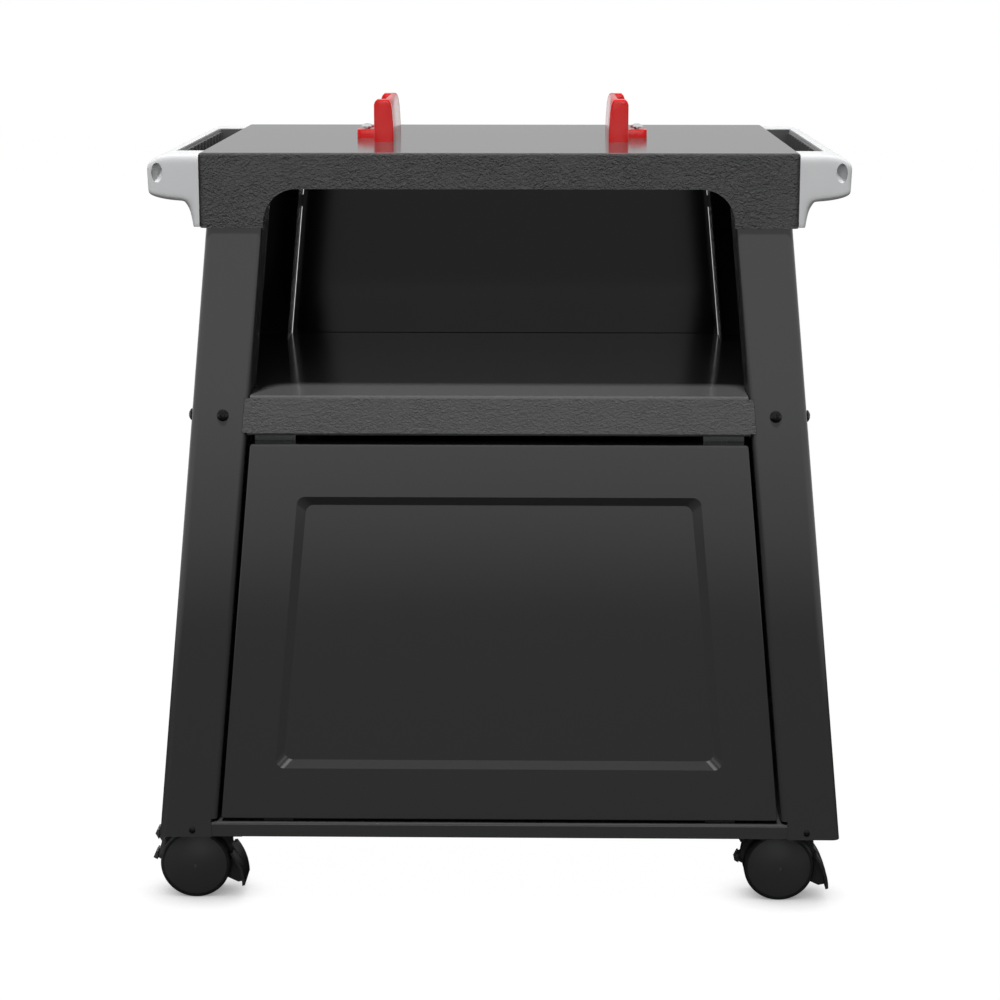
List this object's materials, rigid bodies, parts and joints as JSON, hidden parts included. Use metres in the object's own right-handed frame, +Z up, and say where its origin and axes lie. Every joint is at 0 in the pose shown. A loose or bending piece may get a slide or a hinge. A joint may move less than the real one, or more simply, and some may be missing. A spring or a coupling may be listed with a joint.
{
  "type": "grill cart",
  "caption": "Wheeled grill cart: a flat worktop with grill brackets and side handles over an open shelf and a cabinet with a drop-down door.",
  "frame": {"origin": "middle of the cart's footprint on the floor", "axes": "+X to the cart's right seen from the front, -Y out of the door, +Z up"},
  "size_m": [0.7332, 0.4528, 0.8471],
  "materials": {
    "hammered_coat": "black hammered powder coat",
    "satin_coat": "black satin powder coat",
    "door_coat": "black smooth satin paint",
    "dark_steel": "blackened steel",
    "bright_steel": "zinc plated steel",
    "black_plastic": "moulded, matt",
    "grey_plastic": "light grey, moulded, satin",
    "red_plastic": "red, moulded, satin",
    "wheel_plastic": "moulded, satin",
    "tread_rubber": "smooth, matt"
  },
  "bodies": {
    "cart": {"top_pan": "hammered_coat", "left_side_frame": "satin_coat", "right_side_frame": "satin_coat", "left_shelf_rail": "satin_coat", "right_shelf_rail": "satin_coat", "left_caster_rail": "satin_coat", "right_caster_rail": "satin_coat", "middle_shelf": "hammered_coat", "bottom_panel": "satin_coat", "back_panel": "satin_coat", "left_base_hinge_leaf": "dark_steel", "right_base_hinge_leaf": "dark_steel", "left_magnet_catch": "black_plastic", "right_magnet_catch": "black_plastic", "left_handle": "grey_plastic", "right_handle": "grey_plastic", "left_grip_liner": "black_plastic", "right_grip_liner": "black_plastic", "left_grill_bracket": "red_plastic", "right_grill_bracket": "red_plastic", "flange_screws": "dark_steel", "web_screws": "dark_steel", "foot_screws": "dark_steel", "back_screws": "dark_steel", "bracket_screws": "bright_steel", "bracket_nuts": "bright_steel", "handle_bolts": "dark_steel", "caster_stems": "bright_steel", "stem_nuts": "bright_steel"},
    "door": {"door_panel": "door_coat", "left_door_hinge_leaf": "dark_steel", "right_door_hinge_leaf": "dark_steel", "left_hinge_pin": "dark_steel", "right_hinge_pin": "dark_steel"},
    "front_left_swivel": {"front_left_caster_hood": "black_plastic"},
    "front_left_wheels": {"front_left_front_wheel": "wheel_plastic", "front_left_rear_wheel": "wheel_plastic", "front_left_treads": "tread_rubber", "front_left_axle": "bright_steel"},
    "front_right_swivel": {"front_right_caster_hood": "black_plastic"},
    "front_right_wheels": {"front_right_front_wheel": "wheel_plastic", "front_right_rear_wheel": "wheel_plastic", "front_right_treads": "tread_rubber", "front_right_axle": "bright_steel"},
    "rear_left_swivel": {"rear_left_caster_hood": "black_plastic"},
    "rear_left_wheels": {"rear_left_front_wheel": "wheel_plastic", "rear_left_rear_wheel": "wheel_plastic", "rear_left_treads": "tread_rubber", "rear_left_axle": "bright_steel"},
    "rear_right_swivel": {"rear_right_caster_hood": "black_plastic"},
    "rear_right_wheels": {"rear_right_front_wheel": "wheel_plastic", "rear_right_rear_wheel": "wheel_plastic", "rear_right_treads": "tread_rubber", "rear_right_axle": "bright_steel"},
    "front_left_brake": {"front_left_brake_pedal": "black_plastic"},
    "front_right_brake": {"front_right_brake_pedal": "black_plastic"}
  },
  "joints": [
    {"name": "door_hinge", "type": "hinge", "parent": "cart", "child": "door", "pos_m": [0, -0.217, 0.1004], "axis": [1, 0, 0], "range_deg": [0, 90]},
    {"name": "front_left_swivel_turn", "type": "hinge", "parent": "cart", "child": "front_left_swivel", "pos_m": [-0.3128, -0.175, 0.0746], "axis": [0, 0, 1], "continuous": true},
    {"name": "front_left_wheel_roll", "type": "hinge", "parent": "front_left_swivel", "child": "front_left_wheels", "pos_m": [-0.3262, -0.175, 0.0375], "axis": [0, 1, 0], "continuous": true},
    {"name": "front_right_swivel_turn", "type": "hinge", "parent": "cart", "child": "front_right_swivel", "pos_m": [0.3128, -0.175, 0.0746], "axis": [0, 0, 1], "continuous": true},
    {"name": "front_right_wheel_roll", "type": "hinge", "parent": "front_right_swivel", "child": "front_right_wheels", "pos_m": [0.2994, -0.175, 0.0375], "axis": [0, 1, 0], "continuous": true},
    {"name": "rear_left_swivel_turn", "type": "hinge", "parent": "cart", "child": "rear_left_swivel", "pos_m": [-0.3128, 0.175, 0.0746], "axis": [0, 0, 1], "continuous": true},
    {"name": "rear_left_wheel_roll", "type": "hinge", "parent": "rear_left_swivel", "child": "rear_left_wheels", "pos_m": [-0.3262, 0.175, 0.0375], "axis": [0, 1, 0], "continuous": true},
    {"name": "rear_right_swivel_turn", "type": "hinge", "parent": "cart", "child": "rear_right_swivel", "pos_m": [0.3128, 0.175, 0.0746], "axis": [0, 0, 1], "continuous": true},
    {"name": "rear_right_wheel_roll", "type": "hinge", "parent": "rear_right_swivel", "child": "rear_right_wheels", "pos_m": [0.2994, 0.175, 0.0375], "axis": [0, 1, 0], "continuous": true},
    {"name": "front_left_brake_rock", "type": "hinge", "parent": "front_left_swivel", "child": "front_left_brake", "pos_m": [-0.3532, -0.175, 0.0575], "axis": [0, -1, 0], "range_deg": [0, 8]},
    {"name": "front_right_brake_rock", "type": "hinge", "parent": "front_right_swivel", "child": "front_right_brake", "pos_m": [0.2724, -0.175, 0.0575], "axis": [0, -1, 0], "range_deg": [0, 8]}
  ]
}
